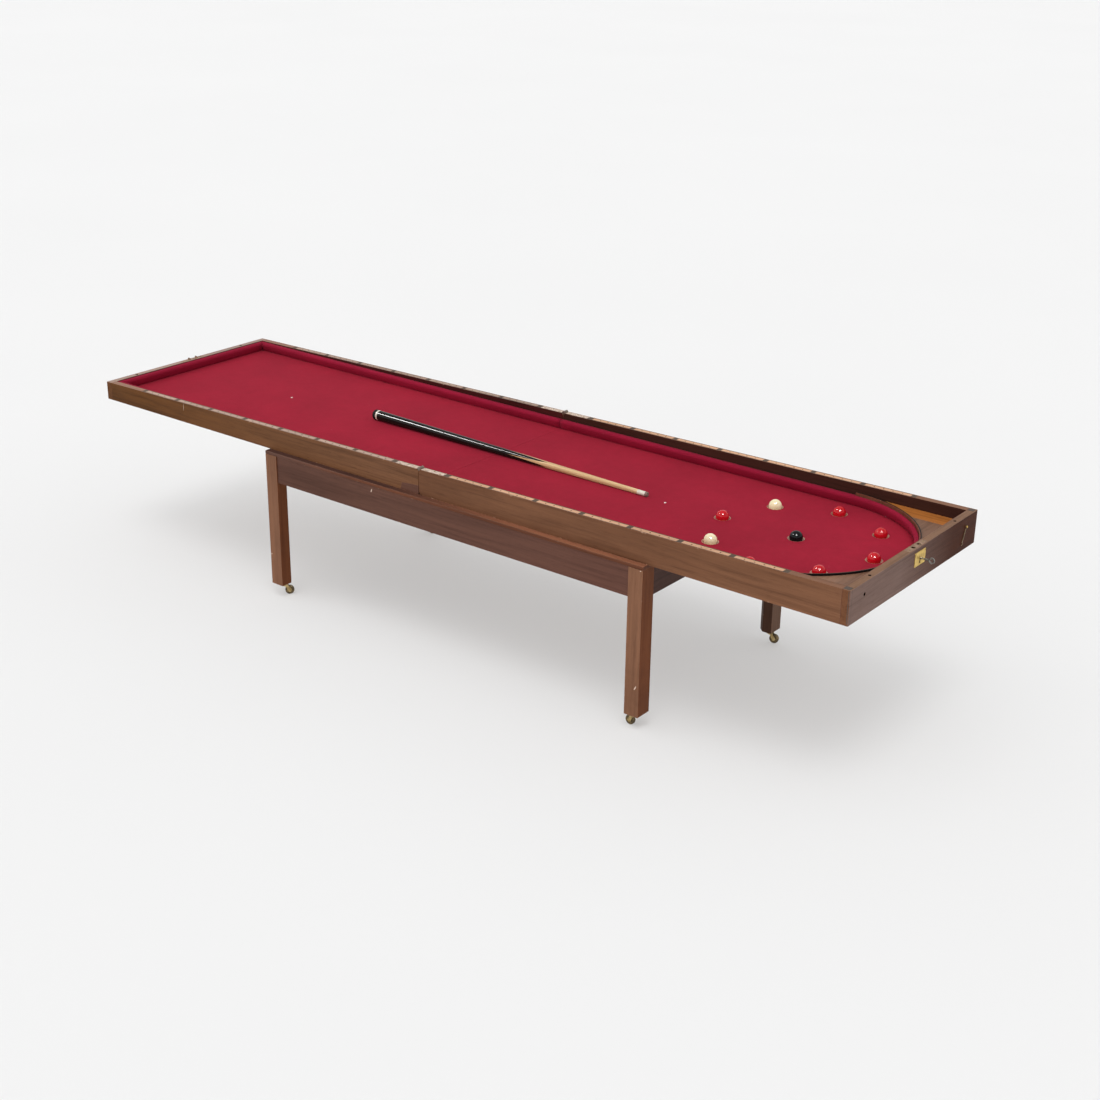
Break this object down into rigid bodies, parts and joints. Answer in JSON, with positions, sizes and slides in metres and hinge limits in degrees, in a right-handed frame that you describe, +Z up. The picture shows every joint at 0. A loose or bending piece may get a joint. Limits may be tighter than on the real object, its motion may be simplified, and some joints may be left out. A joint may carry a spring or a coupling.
{
  "type": "folding bagatelle table",
  "caption": "Folding bagatelle table with a red cloth bed, semicircular cup end, balls and cue, resting on a low mahogany stand with brass castors.",
  "frame": {"origin": "on the floor under the centre of the overall box", "axes": "+X along the table towards the cup end, +Y across it to the far side, +Z up"},
  "size_m": [2.4783, 0.646, 0.5065],
  "materials": {
    "mahogany": "worn satin polish",
    "stand_wood": "worn satin polish",
    "corner_wood": "satin polish",
    "boxwood": "satin, handled",
    "ebony": "satin",
    "baize": "napped wool cloth",
    "cushion_cloth": "cloth over rubber",
    "ivory": "polished",
    "cup_bone": "worn polish",
    "ball_red": "polished",
    "ball_black": "polished",
    "brass": "aged",
    "steel": "worn bright",
    "maple": "varnished",
    "cue_black": "gloss varnish",
    "rubber": "matt",
    "leather": "chalked"
  },
  "bodies": {
    "stand": {"apron_front": "stand_wood", "apron_back": "stand_wood", "aprons_end": "stand_wood", "cap_strips": "stand_wood", "castor_sockets": "brass", "leg_near_left": "stand_wood", "leg_far_left": "stand_wood", "leg_near_right": "stand_wood", "leg_far_right": "stand_wood"},
    "board": {"bed_board_right": "mahogany", "cloth_right": "baize", "rail_near_right": "mahogany", "rail_far_right": "mahogany", "end_rail_right": "mahogany", "cushions_right": "cushion_cloth", "cushion_arc": "cushion_cloth", "arc_strip": "mahogany", "arc_band": "ebony", "corner_floors": "corner_wood", "cup_rings": "cup_bone", "scoring_strips_right": "boxwood", "scoring_dividers_right": "ebony", "hinge_leaves_right": "brass", "lock_case": "brass", "end_fittings_right": "brass"},
    "board_left": {"bed_board_left": "mahogany", "cloth_left": "baize", "rail_near_left": "mahogany", "rail_far_left": "mahogany", "end_rail_left": "mahogany", "cushions_left": "cushion_cloth", "scoring_strips_left": "boxwood", "scoring_dividers_left": "ebony", "hinge_leaves_left": "brass", "end_fittings_left": "brass"},
    "cue": {"cue_butt": "cue_black", "cue_shaft": "maple", "cue_ferrules": "ivory", "cue_bumper": "rubber", "cue_tip": "leather"},
    "key": {"lock_key": "steel"},
    "bolt": {"lock_bolt": "brass"},
    "hook_arm": {"hook": "brass"},
    "fork_near_left": {"castor_fork_near_left": "brass"},
    "wheel_near_left": {"castor_wheel_near_left": "brass"},
    "fork_far_left": {"castor_fork_far_left": "brass"},
    "wheel_far_left": {"castor_wheel_far_left": "brass"},
    "fork_near_right": {"castor_fork_near_right": "brass"},
    "wheel_near_right": {"castor_wheel_near_right": "brass"},
    "fork_far_right": {"castor_fork_far_right": "brass"},
    "wheel_far_right": {"castor_wheel_far_right": "brass"},
    "ball_red_end_body": {"ball_red_end": "ball_red"},
    "ball_red_far_right_body": {"ball_red_far_right": "ball_red"},
    "ball_red_far_body": {"ball_red_far": "ball_red"},
    "ball_white_far_body": {"ball_white_far": "ivory"},
    "ball_red_left_body": {"ball_red_left": "ball_red"},
    "ball_white_near_body": {"ball_white_near": "ivory"},
    "ball_red_near_body": {"ball_red_near": "ball_red"},
    "ball_red_near_right_body": {"ball_red_near_right": "ball_red"},
    "ball_black_body": {"ball_black": "ball_black"}
  },
  "joints": [
    {"name": "board_lift", "type": "slide", "parent": "stand", "child": "board", "axis": [0, 0, 1], "range_m": [0, 0.15]},
    {"name": "board_fold", "type": "hinge", "parent": "board", "child": "board_left", "pos_m": [-0.015, 0, 0.4914], "axis": [0, 1, 0], "range_deg": [0, 180]},
    {"name": "cue_taken_off", "type": "hinge", "parent": "board", "child": "cue", "pos_m": [0.62184, -0.17769, 0.4625], "axis": [0.766, 0.6428, 0], "range_deg": [0, 180]},
    {"name": "key_turn", "type": "hinge", "parent": "board", "child": "key", "pos_m": [1.194, 0.014, 0.479], "axis": [-1, 0, 0], "range_deg": [0, 180]},
    {"name": "bolt_throw", "type": "slide", "parent": "board", "child": "bolt", "axis": [0, -1, 0], "range_m": [0, 0.006]},
    {"name": "hook_swing", "type": "hinge", "parent": "board", "child": "hook_arm", "pos_m": [1.2052, 0.247, 0.482], "axis": [1, 0, 0], "range_deg": [-157, 60]},
    {"name": "swivel_near_left", "type": "hinge", "parent": "stand", "child": "fork_near_left", "pos_m": [-0.533, -0.3, 0.04], "axis": [0, 0, 1], "continuous": true},
    {"name": "roll_near_left", "type": "hinge", "parent": "fork_near_left", "child": "wheel_near_left", "pos_m": [-0.52272, -0.28774, 0.0125], "axis": [-0.766, 0.6428, 0], "continuous": true},
    {"name": "swivel_far_left", "type": "hinge", "parent": "stand", "child": "fork_far_left", "pos_m": [-0.533, 0.3, 0.04], "axis": [0, 0, 1], "continuous": true},
    {"name": "roll_far_left", "type": "hinge", "parent": "fork_far_left", "child": "wheel_far_left", "pos_m": [-0.51716, 0.29777, 0.0125], "axis": [0.1392, 0.9903, 0], "continuous": true},
    {"name": "swivel_near_right", "type": "hinge", "parent": "stand", "child": "fork_near_right", "pos_m": [0.668, -0.3, 0.04], "axis": [0, 0, 1], "continuous": true},
    {"name": "roll_near_right", "type": "hinge", "parent": "fork_near_right", "child": "wheel_near_right", "pos_m": [0.65201, -0.29944, 0.0125], "axis": [-0.0349, -0.9994, 0], "continuous": true},
    {"name": "swivel_far_right", "type": "hinge", "parent": "stand", "child": "fork_far_right", "pos_m": [0.668, 0.3, 0.04], "axis": [0, 0, 1], "continuous": true},
    {"name": "roll_far_right", "type": "hinge", "parent": "fork_far_right", "child": "wheel_far_right", "pos_m": [0.68353, 0.30387, 0.0125], "axis": [-0.2419, 0.9703, 0], "continuous": true},
    {"name": "ball_red_end_lift", "type": "slide", "parent": "board", "child": "ball_red_end_body", "axis": [0, 0, 1], "range_m": [0, 0.04]},
    {"name": "ball_red_far_right_lift", "type": "slide", "parent": "board", "child": "ball_red_far_right_body", "axis": [0, 0, 1], "range_m": [0, 0.04]},
    {"name": "ball_red_far_lift", "type": "slide", "parent": "board", "child": "ball_red_far_body", "axis": [0, 0, 1], "range_m": [0, 0.04]},
    {"name": "ball_white_far_lift", "type": "slide", "parent": "board", "child": "ball_white_far_body", "axis": [0, 0, 1], "range_m": [0, 0.04]},
    {"name": "ball_red_left_lift", "type": "slide", "parent": "board", "child": "ball_red_left_body", "axis": [0, 0, 1], "range_m": [0, 0.04]},
    {"name": "ball_white_near_lift", "type": "slide", "parent": "board", "child": "ball_white_near_body", "axis": [0, 0, 1], "range_m": [0, 0.04]},
    {"name": "ball_red_near_lift", "type": "slide", "parent": "board", "child": "ball_red_near_body", "axis": [0, 0, 1], "range_m": [0, 0.04]},
    {"name": "ball_red_near_right_lift", "type": "slide", "parent": "board", "child": "ball_red_near_right_body", "axis": [0, 0, 1], "range_m": [0, 0.04]},
    {"name": "ball_black_lift", "type": "slide", "parent": "board", "child": "ball_black_body", "axis": [0, 0, 1], "range_m": [0, 0.04]}
  ],
  "couplings": [
    {"joint": "cue_taken_off", "follows": "board_fold", "ratio": 1},
    {"joint": "key_turn", "follows": "bolt_throw", "rad_per_m": 523.59}
  ]
}
